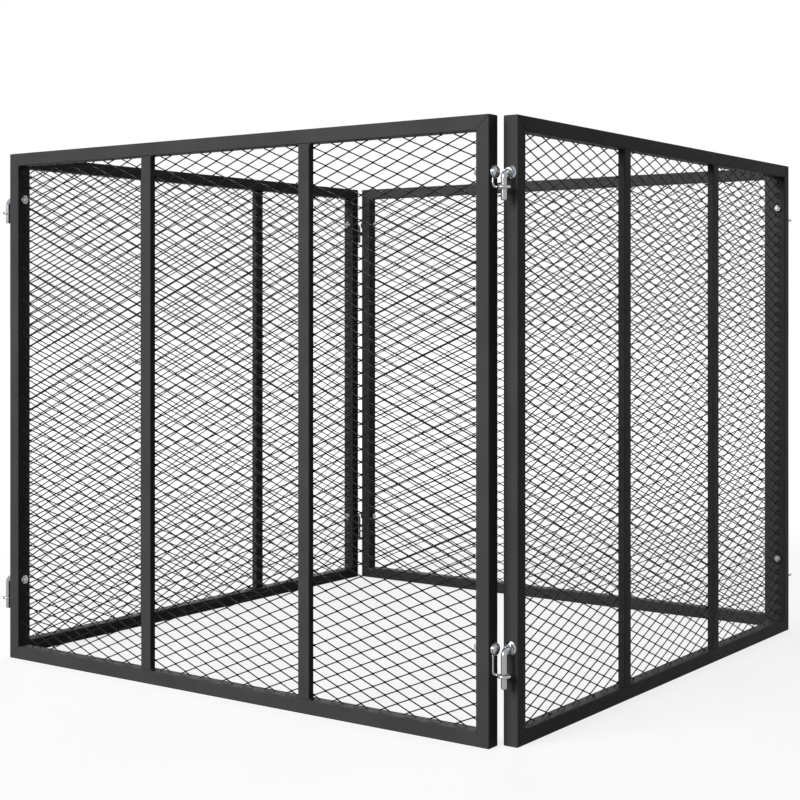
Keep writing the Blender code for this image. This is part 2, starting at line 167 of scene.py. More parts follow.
class FittingSizes(bpy.types.PropertyGroup):
    """Sizes of the hooks, eyes, bolts and nuts at the corners."""

    eye_inset: measure("Eye inset", "Height of the eyes from the panel's nearer edge", 0.094)
    top_rise: measure("Top rise", "Height of the upper bolts over their eye", 0.020)
    bottom_rise: measure("Bottom rise", "Height of the lower bolts over their eye", 0.033)
    hook: measure("Hook diameter", "Diameter of the bent rod", 0.008)
    hook_pitch: measure("Hook thread", "Pitch of the coarse thread on the hook's leg", 0.00125)
    bend: measure("Hook bend", "Radius of the rod's bend, along its middle", 0.008)
    tail: measure("Hook tail", "How far the hook reaches under its eye's middle", 0.017)
    chamfer: measure("Rod chamfer", "Chamfer at the rod's ends", 0.0012)
    flange: measure("Flange diameter", "Diameter of the flange nut's skirt", 0.018)
    flange_height: measure("Flange height", "Thickness of the flange nut's skirt", 0.0018)
    hook_flats: measure("Hook nut flats", "Width across the flats of the hook's nuts", 0.013)
    hook_nut: measure("Hook nut height", "Height of the hexagon of the hook's nuts", 0.0042)
    ring: measure("Eye ring radius", "Radius of the eye, to the middle of its wire", 0.00695)
    wire: measure("Eye wire", "Diameter of the forged ring's wire", 0.0045)
    arm: measure("Eye arm", "Diameter of the arm where it is thinnest", 0.0034)
    plate: measure("Eye plate", "Diameter of the eye's flat end", 0.0175)
    plate_height: measure("Eye plate height", "Thickness of the eye's flat end", 0.003)
    bolt: measure("Bolt diameter", "Diameter of the domed bolt's shank", 0.006)
    bolt_pitch: measure("Bolt thread", "Pitch of the coarse thread on the domed bolt", 0.001)
    head: measure("Head diameter", "Diameter of the domed head", 0.016)
    head_height: measure("Head height", "Height of the domed head", 0.004)
    bolt_flats: measure("Bolt nut flats", "Width across the flats of the bolt's nut", 0.010)
    bolt_nut: measure("Bolt nut height", "Height of the bolt's nut", 0.005)
    thread_end: measure("Thread end", "Length of thread past an inner nut", 0.003)
    seat: measure("Seat gap", "Gap between a fitting and what it sits on", 0.0003)


class FinishColours(bpy.types.PropertyGroup):
    """Colours of the coats and the plating."""

    coat: colour("Frame coat", "Black coat on the tubes where it is thick", "#454547")
    coat_thin: colour("Frame coat, thin", "Black coat on the tubes where it is thin", "#4d4d4e")
    net_coat: colour("Mesh coat", "Black coat on the diamond mesh", "#141415")
    net_thin: colour("Mesh coat, thin", "Black coat on the mesh where it is thin", "#1c1c1d")
    zinc: colour("Zinc", "Bright zinc plate", "#9ca3ab")
    zinc_warm: colour("Zinc, warm", "Zinc plate where its passivate is thicker", "#a5a199")
    floor: colour("Floor", "White paper under the bin", "#f4f4f3")


class StageSizes(bpy.types.PropertyGroup):
    """The camera, the lamps and the floor."""

    lens: measure("Lens", "Focal length of the camera on a 36 mm sensor", 70.8, "CAMERA")
    key: measure("Key lamp", "Power of the large soft lamp in front", 555, "POWER")
    back: measure("Back lamp", "Power of the soft lamp behind on the left", 200, "POWER")
    side: measure("Side lamp", "Power of the weak soft lamp behind on the right", 45, "POWER")
    fill: measure("Fill", "How strongly the white room lights matt surfaces", 0.04, "NONE")
    floor_size: measure("Floor size", "Side of the square floor", 60.0)


class BinSettings(bpy.types.PropertyGroup):
    """Everything about the bin that a user would change."""

    tubes: PointerProperty(type=TubeSizes)
    net: PointerProperty(type=MeshSizes)
    welds: PointerProperty(type=WeldSizes)
    fittings: PointerProperty(type=FittingSizes)
    finishes: PointerProperty(type=FinishColours)
    stage: PointerProperty(type=StageSizes)


def chosen():
    """The bin's settings in the scene."""
    return bpy.context.scene.compost_bin


# Nodes and materials


def add_node(tree, kind, *values, inputs=None, **settings):
    """Adds a node with its settings. Values go to its inputs in order, and others by name.

    Each is a plain value, a socket to link, or a node, whose first output in use is linked."""
    node = tree.nodes.new(kind)
    for name, value in settings.items():
        setattr(node, name, value)
    for key, value in [*enumerate(values), *(inputs or {}).items()]:
        if isinstance(value, bpy.types.Node):
            value = next(socket for socket in value.outputs if socket.enabled)
        if isinstance(value, bpy.types.NodeSocket):
            tree.links.new(value, node.inputs[key])
        else:
            node.inputs[key].default_value = value
    return node


def emptied(owner):
    """Empties a material or a world, and gives the function that adds nodes to it."""
    owner.use_nodes = True
    owner.node_tree.nodes.clear()
    return partial(add_node, owner.node_tree)


def uneven_material(name, usual, patches, clouds, sheen, relief, bump, shader):
    """A material that noise on Object coordinates makes uneven in colour, roughness and relief.

    Clouds and sheen each hold a noise's width in metres, its detail, and what its dark and bright
    blotches give. Relief holds a noise's width and detail, and those of finer ones that are each a
    quarter as high."""
    made = bpy.data.materials.new(name)
    add = emptied(made)
    place = add("ShaderNodeTexCoord").outputs["Object"]
    cloud, gloss, height, *finer = (
        add(
            "ShaderNodeTexNoise",
            inputs={"Vector": place, "Scale": 1 / width, "Detail": detail, "Roughness": 0.55},
        )
        for width, detail, *_ in (clouds, sheen, *relief)
    )
    for noise in finer:
        height = add("ShaderNodeMath", noise, 0.25, height, operation="MULTIPLY_ADD")
    # Noise seldom leaves the range from 0.3 to 0.7, which is spread over both ends
    mix, roughness = (
        add("ShaderNodeMapRange", noise, 0.3, 0.7, *ends)
        for noise, (_, _, *ends) in ((cloud, clouds), (gloss, sheen))
    )
    tones = {"Factor": mix, "A": usual, "B": patches}
    uneven = {
        "Base Color": add("ShaderNodeMix", inputs=tones, data_type="RGBA"),
        "Roughness": roughness,
        "Normal": add("ShaderNodeBump", inputs={**bump, "Height": height}),
    }
    add("ShaderNodeOutputMaterial", add("ShaderNodeBsdfPrincipled", inputs={**shader, **uneven}))
    return made


def coat_material(name, thick, thin, roughness, specular):
    """Polyester powder sprayed dry on steel and baked: a soft low sheen, with the orange peel that
    the powder leaves as it flows and faint clouds where it lies thinner."""
    return uneven_material(
        name,
        thick,
        thin,
        # Clouds of film thickness about 70 mm wide, and 12 mm patches of sheen
        clouds=(0.07, 3.0, 0.0, 1.0),
        sheen=(0.012, 2.0, *roughness),
        # Orange peel is 1 to 2 mm from crest to crest, and is drawn at 2.2 mm so that it shows.
        # The powder's own grain is 0.1 mm, and is drawn at 0.6 mm
        relief=((0.0022, 1.0), (0.0006, 1.0)),
        bump={"Strength": 0.35, "Distance": 0.0001},
        shader={"IOR": 1.5, "Specular IOR Level": specular},
    )


def zinc_material(name, plate, warm):
    """Steel electroplated with zinc and passivated clear: a bright, slightly cold metal with faint
    warm patches, and a fine random scratching from the barrel that the fittings are plated in."""
    return uneven_material(
        name,
        plate,
        warm,
        # Passivate patches about 9 mm wide, and 3 mm patches of gloss
        clouds=(0.009, 2.0, 0.0, 0.8),
        sheen=(0.003, 2.0, 0.12, 0.22),
        # Barrel marks are 0.1 mm wide, and are drawn at 0.5 mm
        relief=((0.0005, 2.0),),
        bump={"Strength": 0.12, "Distance": 0.00004},
        shader={"Metallic": 1.0},
    )


def finish(slot):
    """The finish of the pieces with that slot, made when it is first asked for."""
    colours = chosen().finishes
    # A coat has two colours, the range of its roughness and the strength of its sheen
    paint = (colours.coat, colours.coat_thin, (0.46, 0.58), 0.03)
    net_paint = (colours.net_coat, colours.net_thin, (0.42, 0.55), 0.06)
    name, make, look = {
        "frame_paint": ("black powder coat on steel tube", coat_material, paint),
        "mesh_paint": ("black powder coat on expanded steel", coat_material, net_paint),
        "zinc": ("bright zinc plate on steel", zinc_material, (colours.zinc, colours.zinc_warm)),
    }[slot]
    return bpy.data.materials.get(name) or make(name, *look)


# Mesh tools


def new_object(name, data):
    """A new object of the data, in the scene."""
    made = bpy.data.objects.new(name, data)
    bpy.context.scene.collection.objects.link(made)
    return made


def mesh_of(bm):
    """The bmesh as mesh data, with its faces pointing out and its edges smooth or sharp."""
    bm.normal_update()
    bmesh.ops.recalc_face_normals(bm, faces=bm.faces)
    mesh = bpy.data.meshes.new("part")
    bm.to_mesh(mesh)
    bm.free()
    mesh.shade_smooth()
    mesh.set_sharp_from_angle(angle=SMOOTH_BELOW)
    return mesh


def with_modifiers(mesh, modifiers, inputs=None):
    """New mesh data: the mesh after modifiers, given as kinds and settings. The inputs of a
    Geometry Nodes tree are given by their identifiers."""
    work = new_object("work", mesh)
    for kind, settings in modifiers:
        modifier = work.modifiers.new(kind, kind)
        for name, value in settings.items():
            setattr(modifier, name, value)
        for identifier, value in (inputs or {}).items():
            modifier[identifier] = value
    graph = bpy.context.evaluated_depsgraph_get()
    result = bpy.data.meshes.new_from_object(work.evaluated_get(graph))
    bpy.data.objects.remove(work)
    return result


def grown(mesh, tree, values):
    """New mesh data: what a Geometry Nodes tree makes of the mesh with these inputs, by name."""
    inputs = {
        item.identifier: values[item.name]
        for item in tree.interface.items_tree
        if item.in_out == "INPUT" and item.name in values
    }
    return with_modifiers(mesh, [("NODES", {"node_group": tree})], inputs)


def boolean(base, operation, *tools):
    """New mesh data: the base with the tools cut from it, joined to it or crossed with it."""
    helpers = [new_object("tool", tool) for tool in tools]
    settings = {"operation": operation, "solver": "EXACT"}
    result = with_modifiers(base, [("BOOLEAN", {**settings, "object": tool}) for tool in helpers])
    for helper in helpers:
        bpy.data.objects.remove(helper)
    # A Boolean leaves slivers where two faces nearly meet
    bm = bmesh.new()
    bm.from_mesh(result)
    bmesh.ops.remove_doubles(bm, verts=bm.verts, dist=MERGE_DISTANCE)
    bmesh.ops.dissolve_degenerate(bm, edges=bm.edges, dist=MERGE_DISTANCE)
    return mesh_of(bm)


def crisp(mesh):
    """The mesh with normals weighted by area, so that flats stay flat beside rounded edges."""
    return with_modifiers(mesh, [("WEIGHTED_NORMAL", {"keep_sharp": True})])


def moved(mesh, matrix):
    """A copy of the mesh data, moved by the matrix."""
    copy = mesh.copy()
    copy.transform(matrix)
    return copy


def joined(*meshes):
    """One mesh data of several that stay separate shells."""
    bm = bmesh.new()
    for mesh in meshes:
        bm.from_mesh(mesh)
    return mesh_of(bm)


def new_tree(name, **inputs):
    """A Geometry Nodes tree, the function that adds nodes to it, and its input sockets: the
    geometry, those asked for by their kind, and the material."""
    tree = bpy.data.node_groups.new(name, "GeometryNodeTree")
    tree.interface.new_socket("Geometry", in_out="OUTPUT", socket_type="NodeSocketGeometry")
    for kind, names in {"Geometry": ["Geometry"], **inputs, "Material": ["Material"]}.items():
        for socket in names:
            tree.interface.new_socket(socket, in_out="INPUT", socket_type="NodeSocket" + kind)
    add = partial(add_node, tree)
    return tree, add, add("NodeGroupInput").outputs


def end_tree(tree, given, geometry):
    """Ends a tree: its instances made real, and its material set."""
    real = add_node(tree, "GeometryNodeRealizeInstances", geometry)
    material = {"Material": given["Material"]}
    painted = add_node(tree, "GeometryNodeSetMaterial", real, inputs=material)
    add_node(tree, "NodeGroupOutput", painted)
    return tree


def put_on_panels(kind, mesh, slot, place=Matrix(), stands_for_node=True):
    """Puts a piece on all four panels, riding on the panel. It stands for its CAD node, unless it
    is an added piece that has none."""
    finished = "plated" if slot == "zinc" else "coated"
    for side, turn in SIDES:
        to_bin = Matrix.Rotation(turn, 4, "Z") @ Matrix.Translation((0, -PANEL_OUT, 0))
        placed = moved(mesh, to_bin @ place)
        placed.name = f"{side}_{kind}_{finished}"
        placed.materials.clear()
        placed.materials.append(finish(slot))
        piece = new_object(placed.name, placed)
        if stands_for_node:
            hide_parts(f"{side}_{kind}")
        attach(piece, f"{side}_panel")


# Round and hollow forms


def skin(bm, rings):
    """Joins each ring of vertices to the next one with faces."""
    for ring, following in zip(rings, rings[1:]):
        for k in range(len(ring)):
            beside = (k + 1) % len(ring)
            bm.faces.new((ring[k], ring[beside], following[beside], following[k]))


def circle():
    """Cosines and sines of the corners round a rod."""
    angles = (2 * math.pi * k / ROD_SIDES for k in range(ROD_SIDES))
    return [(math.cos(angle), math.sin(angle)) for angle in angles]


def swept_rod(path, radii):
    """Rod of the given radii along a path of points, with flat ends."""
    bm = bmesh.new()
    rings = []
    direction = (path[1] - path[0]).normalized()
    across = direction.orthogonal().normalized()
    for k, (point, radius) in enumerate(zip(path, radii)):
        tangent = (path[min(k + 1, len(path) - 1)] - path[max(k - 1, 0)]).normalized()
        across = direction.rotation_difference(tangent) @ across
        direction = tangent
        other = direction.cross(across)
        offsets = [across * cosine + other * sine for cosine, sine in circle()]
        rings.append([bm.verts.new(point + offset * radius) for offset in offsets])
    bm.faces.new(rings[0])
    skin(bm, rings)
    bm.faces.new(rings[-1])
    return mesh_of(bm)


def turned(profile, rise, sides=ROUND_STEPS):
    """Solid of revolution about an axis along X at the height rise. The profile holds places along
    X and radii, from axis to axis."""
    bm = bmesh.new()
    verts = [bm.verts.new((along, radius, 0)) for along, radius in profile]
    edges = [bm.edges.new(pair) for pair in zip(verts, verts[1:])]
    axis = {"cent": (0, 0, 0), "axis": (1, 0, 0), "angle": 2 * math.pi}
    bmesh.ops.spin(bm, geom=verts + edges, steps=sides, use_merge=True, **axis)
    bmesh.ops.remove_doubles(bm, verts=bm.verts, dist=MERGE_DISTANCE)
    bmesh.ops.translate(bm, verts=bm.verts, vec=(0, 0, rise))
    return mesh_of(bm)


def cylinder(low, high, radius, rise, sides=ROUND_STEPS):
    """Cylinder along X between two places, that others are cut with."""
    return turned(((low, 0), (low, radius), (high, radius), (high, 0)), rise, sides)


# Tubes


def rounded_outline(low, high, depth, radius):
    """Points round a tube's section, from low to high across, with its corners as arcs."""
    points = []
    corners = ((high, depth / 2), (low, depth / 2), (low, -depth / 2), (high, -depth / 2))
    for quarter, (x, y) in enumerate(corners):
        # The arc's middle lies in from the corner
        x -= math.copysign(radius, x - (low + high) / 2)
        y -= math.copysign(radius, y)
        for step in range(CORNER_STEPS + 1):
            angle = (quarter + step / CORNER_STEPS) * math.pi / 2
            points.append((x + radius * math.cos(angle), y + radius * math.sin(angle)))
    return points


def tube_mesh(face, depth, end_at):
    """Hollow tube along Z with chamfered ends. end_at gives how far each end lies from the middle,
    by the place across."""
    sizes = chosen().tubes
    insets = (0, sizes.groove, sizes.wall)
    corners = [max(sizes.corner - inset, sizes.wall / 5) for inset in insets]
    outer, rim, inner = (
        rounded_outline(inset, face - inset, depth - 2 * inset, corner)
        for inset, corner in zip(insets, corners)
    )
    back = sizes.groove * math.sqrt(2)
    around = ((outer, -1, back), (outer, 1, back), (rim, 1, 0))
    around += ((inner, 1, 0), (inner, -1, 0), (rim, -1, 0))
    bm = bmesh.new()
    rings = [
        [bm.verts.new((x, y, end * (end_at(x) - short))) for x, y in outline]
        for outline, end, short in around
    ]
    skin(bm, rings + rings[:1])
    return mesh_of(bm)


def mitred_tube(full_length):
    """Frame member along Z whose ends are cut at 45 degrees, longest on its outer edge."""
    play = chosen().tubes.mitre_gap / math.sqrt(2)
    return tube_mesh(TUBE_FACE, TUBE_DEPTH, lambda across: full_length / 2 - across - play)


def bolt_heights():
    """Height of the bolts over the panel's foot, by level."""
    sizes = chosen().fittings
    return {
        "top": PANEL_HEIGHT - sizes.eye_inset + sizes.top_rise,
        "bottom": sizes.eye_inset + sizes.bottom_rise,
    }


def drilled_stile(hole):
    """Stile whose outer edge is at X = 0 and whose foot is at Z = 0, drilled for its two bolts."""
    tube = moved(mitred_tube(PANEL_HEIGHT), Matrix.Translation((0, 0, PANEL_HEIGHT / 2)))
    heights = bolt_heights().values()
    drills = [cylinder(-TUBE_FACE, 2 * TUBE_FACE, hole / 2, height) for height in heights]
    return boolean(tube, "DIFFERENCE", *drills)


# Nuts, bolts, hooks and eyes


def hexagon(flats, low, high, rise, chamfer_high=True):
    """Hexagon along X between two places, with a nut's round chamfer at the low end and, if asked
    for, at the high end."""
    corner = flats / math.sqrt(3)
    # The chamfer leaves a round face a little narrower than the flats, and falls 30 degrees
    face = flats * 0.475
    drop = (corner - face) * math.tan(math.radians(30))
    # What crosses the prism is just wider than its corners, and longer where nothing is chamfered
    wider, margin = 1.001, 0.0002
    profile = [(low, 0), (low, face), (low + drop, corner * wider)]
    if chamfer_high:
        profile += [(high - drop, corner * wider), (high, face), (high, 0)]
    else:
        profile += [(high + margin, (corner + margin) * wider), (high + margin, 0)]
    bm = bmesh.new()
    bmesh.ops.create_cone(
        bm, cap_ends=True, segments=6, radius1=corner, radius2=corner, depth=high - low
    )
    lay = Matrix.Rotation(math.pi / 2, 4, "Y")
    bm.transform(Matrix.Translation(((low + high) / 2, 0, rise)) @ lay)
    return boolean(mesh_of(bm), "INTERSECT", turned(profile, rise))


def bored(mesh, low, high, bore, rise):
    """The mesh with a hole of that radius along X, from before low to past high."""
    return boolean(mesh, "DIFFERENCE", cylinder(low - bore, high + bore, bore, rise))


def inner_nut(flats, low, high, rod, rise):
    """Hexagonal nut along X with both ends chamfered, for a rod of that diameter."""
    return bored(hexagon(flats, low, high, rise), low, high, rod / 2 + NUT_PLAY, rise)


def thread_tree():
    """Tree that cuts a screw thread into the part of a rod that lies along X."""
    found = bpy.data.node_groups.get("Screw thread")
    if found:
        return found
    floats = ("Pitch", "Depth", "Start", "End", "Axis Height")
    tree, add, given = new_tree("Screw thread", Float=floats)
    parts = add("ShaderNodeSeparateXYZ", add("GeometryNodeInputPosition")).outputs
    known = {socket.name: socket for socket in (*given, *parts)}
    # The groove's depth rises and falls once in a pitch, and a turn about the axis shifts it by one
    for result, operation, *values in (
        ("over", "SUBTRACT", "Z", "Axis Height"),
        ("angle", "ARCTAN2", "over", "Y"),
        ("turn", "DIVIDE", "angle", 2 * math.pi),
        ("along", "DIVIDE", "X", "Pitch"),
        ("phase", "SUBTRACT", "along", "turn"),
        ("wave", "PINGPONG", "phase", 0.5),
        ("share", "MULTIPLY", "wave", 2.0),
        ("groove", "MULTIPLY", "share", "Depth"),
        ("started", "GREATER_THAN", "X", "Start"),
        ("running", "LESS_THAN", "X", "End"),
        ("inside", "MULTIPLY", "started", "running"),
        ("outwards", "MULTIPLY", "groove", "inside"),
        ("inwards", "MULTIPLY", "outwards", -1.0),
    ):
        sources = [known.get(value, value) for value in values]
        known[result] = add("ShaderNodeMath", *sources, operation=operation)
    radial = add("ShaderNodeCombineXYZ", 0.0, known["Y"], known["over"])
    unit = add("ShaderNodeVectorMath", radial, operation="NORMALIZE")
    scaled = {"Vector": unit, "Scale": known["inwards"]}
    cut = add("ShaderNodeVectorMath", inputs=scaled, operation="SCALE")
    threaded = {"Geometry": given["Geometry"], "Offset": cut}
    return end_tree(tree, given, add("GeometryNodeSetPosition", inputs=threaded))


def with_thread(rod, pitch, start, end, rise):
    """The rod with a thread half a pitch deep, between two places along X."""
    values = {"Pitch": pitch, "Depth": pitch * 0.5, "Start": start, "End": end}
    return grown(rod, thread_tree(), {**values, "Axis Height": rise, "Material": finish("zinc")})


def thread_places(start, end, pitch):
    """Places along a rod that are close enough together for its thread to show."""
    count = max(1, round(abs(end - start) / pitch * THREAD_RINGS))
    return [start + (end - start) * k / count for k in range(count + 1)]


def hook_bolt(rise):
    """Hook bolt about its pin, with the nut on its leg. The stile lies towards +X."""
    sizes = chosen().fittings
    nut_from = PIN_OFFSET + TUBE_FACE + sizes.seat
    nut_to = nut_from + sizes.hook_nut
    end = nut_to + sizes.thread_end
    full = sizes.hook / 2
    tip = full - sizes.chamfer
    # The thread runs from the end of the leg to just before the bend
    leg = thread_places(end - sizes.chamfer, sizes.bend + sizes.hook_pitch / 2, sizes.hook_pitch)
    path = [Vector((x, 0, rise)) for x in (end, *leg)]
    for step in range(BEND_STEPS + 1):
        angle = step / BEND_STEPS * math.pi / 2
        along = sizes.bend * (1 - math.sin(angle))
        drop = sizes.bend * (1 - math.cos(angle))
        path.append(Vector((along, 0, rise - drop)))
    path += [Vector((0, 0, sizes.chamfer - sizes.tail)), Vector((0, 0, -sizes.tail))]
    rod = swept_rod(path, [tip] + [full] * (len(path) - 2) + [tip])
    rod = with_thread(rod, sizes.hook_pitch, sizes.bend, end - sizes.chamfer / 2, rise)
    return joined(rod, inner_nut(sizes.hook_flats, nut_from, nut_to, sizes.hook, rise))


def flange_nut(rise):
    """Nut with a conical skirt against the stile's end, and its hexagon towards the pin."""
    sizes = chosen().fittings
    seat = PIN_OFFSET - sizes.seat
    skirt = seat - sizes.flange_height
    top = skirt - sizes.hook_nut
    # The cone leaves the hexagon just outside its flats, and ends in a rim with softened edges
    collar = sizes.hook_flats * 0.52
    cone_end, rim_top = (seat - sizes.flange_height * share for share in (0.42, 0.3))
    rim, edge = sizes.flange / 2, 0.0002
    profile = [(skirt, 0), (skirt, collar), (cone_end, rim - edge), (rim_top, rim)]
    profile += [(seat - edge, rim), (seat, rim - edge), (seat, 0)]
    in_skirt = seat - sizes.flange_height / 2
    hexagonal = hexagon(sizes.hook_flats, top, in_skirt, rise, chamfer_high=False)
    solid = boolean(turned(profile, rise), "UNION", hexagonal)
    return bored(solid, top, seat, sizes.hook / 2 + NUT_PLAY, rise)


def smooth_path(points):
    """Points on a Catmull-Rom curve through the points."""
    padded = [2 * points[0] - points[1], *points, 2 * points[-1] - points[-2]]
    path = []
    for a, b, c, d in zip(padded, padded[1:], padded[2:], padded[3:]):
        for step in range(ARM_STEPS):
            t = step / ARM_STEPS
            path.append(
                0.5 * (2 * b + (c - a) * t + (2 * a - 5 * b + 4 * c - d) * t * t
                       + (3 * b - a - 3 * c + d) * t ** 3)
            )
    return path + [points[-1]]


def ring_eye(rise):
    """Forged eye about its pin: a ring, an arm that sweeps up, and a flat end under the bolt's head.

    The stile lies towards -X. The parts are joined, then remeshed so that they flow together."""
    sizes = chosen().fittings
    wire = sizes.wire / 2
    arm = sizes.arm / 2
    against_stile = sizes.seat + arm - PIN_OFFSET
    in_plate = sizes.seat + sizes.plate_height / 2 - PIN_OFFSET
    sweep = sizes.plate / 4
    foot = rise - sizes.plate / 2
    # The arm's points, and its radius at each of them
    points = (
        (-sizes.ring, 0, 0),
        (against_stile + wire / 2, -sweep / 2, wire / 2),
        (against_stile, -sweep, 2 * wire),
        (against_stile, -sweep, foot - wire),
        (in_plate, -sweep, foot + wire / 2),
    )
    thickness = (wire * 0.95, arm * 1.05, arm, arm, sizes.plate_height * 0.47)
    radii = [
        before * (1 - step / ARM_STEPS) + after * (step / ARM_STEPS)
        for before, after in zip(thickness, thickness[1:])
        for step in range(ARM_STEPS)
    ]
    rod = swept_rod(smooth_path([Vector(point) for point in points]), radii + [thickness[-1]])
    seat = sizes.seat - PIN_OFFSET
    top = seat + sizes.plate_height
    half, edge = sizes.plate / 2, 0.0005
    profile = [(seat, 0), (seat, half - edge), (seat + edge, half)]
    profile += [(top - edge, half), (top, half - edge), (top, 0)]
    bm = bmesh.new()
    section = [Vector((sizes.ring + wire * cosine, 0, wire * sine)) for cosine, sine in circle()]
    rings = []
    for k in range(ROUND_STEPS):
        turn = Matrix.Rotation(2 * math.pi * k / ROUND_STEPS, 3, "Z")
        rings.append([bm.verts.new(turn @ at) for at in section])
    skin(bm, rings + rings[:1])
    solid = boolean(mesh_of(bm), "UNION", rod, turned(profile, rise))
    forging = {"mode": "VOXEL", "voxel_size": FORGED_VOXEL, "use_smooth_shade": True}
    softening = {"factor": 0.5, "iterations": 3}
    forged = with_modifiers(solid, [("REMESH", forging), ("SMOOTH", softening)])
    return bored(forged, seat, top, sizes.bolt / 2 + EYE_PLAY, rise)


def domed_bolt(rise):
    """Domed bolt that clamps an eye to the stile's end, with its nut inside the panel."""
    sizes = chosen().fittings
    under_head = 2 * sizes.seat + sizes.plate_height - PIN_OFFSET
    nut_to = -(PIN_OFFSET + TUBE_FACE + sizes.seat)
    nut_from = nut_to - sizes.bolt_nut
    end = nut_from - sizes.thread_end
    # The thread goes on for a quarter of the tube past the nut
    thread_to = nut_to + TUBE_FACE / 4
    head, shank = sizes.head / 2, sizes.bolt / 2
    # Height of the head's upright rim, its lower edge's softening, and the chamfer at the tip
    rim, edge, tip = 0.0007, 0.0003, 0.0008
    profile = [(under_head + sizes.head_height, 0)]
    for step in range(1, DOME_STEPS + 1):
        angle = step / DOME_STEPS * math.pi / 2
        height = under_head + rim + (sizes.head_height - rim) * math.cos(angle)
        profile.append((height, head * math.sin(angle)))
    profile += [(under_head + edge, head), (under_head, head - edge), (under_head, shank)]
    profile += [(x, shank) for x in thread_places(thread_to, end + tip, sizes.bolt_pitch)]
    profile += [(end, shank - tip), (end, 0)]
    last = thread_to - sizes.bolt_pitch / 4
    bolt = with_thread(turned(profile, rise), sizes.bolt_pitch, end + tip / 2, last, rise)
    return joined(bolt, inner_nut(sizes.bolt_flats, nut_from, nut_to, sizes.bolt, rise))


# Diamond mesh


def knuckle_mesh(step_x, step_z):
    """A crossing of the diamond mesh with half of each strand that leaves it, open at their ends."""
    sizes = chosen().net
    half_x, half_z = step_x / 2, step_z / 2
    middle = sizes.strand / 2
    slope = (half_z - middle) / (half_x - sizes.run / 2)
    lean = math.hypot(1, slope)
    tall = middle * lean
    top_x = sizes.run / 2 - (tall - middle) / slope
    crotch_x = sizes.run / 2 + (tall - middle) / slope

    def edges(edge):
        """The crossing's four edges, clockwise from the top, drawn in by the width of the edge."""
        rise = edge * lean
        end_high, end_low = half_z + tall - rise, half_z - tall + rise
        flat = sizes.strand - edge
        flat_x = top_x + (rise - edge) / slope
        crotch = crotch_x - rise / slope
        top = ((-half_x, end_high), (-flat_x, flat), (flat_x, flat), (half_x, end_high))
        right = ((half_x, end_low), (crotch, 0), (half_x, -end_low))
        return top, right, *([(-x, -z) for x, z in line] for line in (top, right))

    bm = bmesh.new()
    thick = sizes.thickness / 2
    levels = ((sizes.edge, -thick), (0, sizes.edge - thick))
    levels += ((0, thick - sizes.edge), (sizes.edge, thick))
    layers = [
        [[bm.verts.new((x, depth, z)) for x, z in line] for line in edges(edge)]
        for edge, depth in levels
    ]
    for layer, following in zip(layers, layers[1:]):
        for line, beside in zip(layer, following):
            for k in range(len(line) - 1):
                bm.faces.new((line[k], line[k + 1], beside[k + 1], beside[k]))
    for top, right, bottom, left in (layers[0], layers[-1]):
        for corners in (
            (top[2], top[3], right[0], right[1]),
            (right[1], right[2], bottom[0], bottom[1]),
            (bottom[2], bottom[3], left[0], left[1]),
            (left[1], left[2], top[0], top[1]),
            (top[1], top[2], right[1], left[1]),
            (left[1], right[1], bottom[1], bottom[2]),
        ):
            bm.faces.new(corners)
    return mesh_of(bm)


def net_tree():
    """Tree that lays a crossing on every other point of a grid that stands in the XZ plane."""
    tree, add, given = new_tree("Diamond mesh", Float=("Width", "Height"), Int=("Columns", "Rows"))
    sizes = [given[name] for name in ("Width", "Height", "Columns", "Rows")]
    grid = add("GeometryNodeMeshGrid", *sizes)
    # Both counts are odd, so every other crossing in both directions is every other index
    rest = add("ShaderNodeMath", add("GeometryNodeInputIndex"), 2.0, operation="MODULO")
    even = add("ShaderNodeMath", rest, 0.5, operation="LESS_THAN")
    points = add("GeometryNodeDeleteGeometry", grid, even)
    standing = {"Geometry": points, "Rotation": (math.pi / 2, 0, 0)}
    upright = add("GeometryNodeTransform", inputs=standing)
    crossings = {"Points": upright, "Instance": given["Geometry"]}
    return end_tree(tree, given, add("GeometryNodeInstanceOnPoints", inputs=crossings))


def half_steps():
    """How many half diamonds lie across and up a panel's sheet."""
    sizes = chosen().net
    return 2 * sizes.columns + 1, 2 * sizes.rows + 1


def largest_part(mesh):
    """The mesh data with only its largest connected piece kept."""
    bm = bmesh.new()
    bm.from_mesh(mesh)
    unseen = set(bm.verts)
    parts = []
    while unseen:
        part = [unseen.pop()]
        # The part grows while it is gone through
        for vert in part:
            beside = {edge.other_vert(vert) for edge in vert.link_edges} & unseen
            unseen -= beside
            part.extend(beside)
        parts.append(part)
    kept = set(max(parts, key=len))
    bmesh.ops.delete(bm, geom=[vert for vert in bm.verts if vert not in kept], context="VERTS")
    return mesh_of(bm)


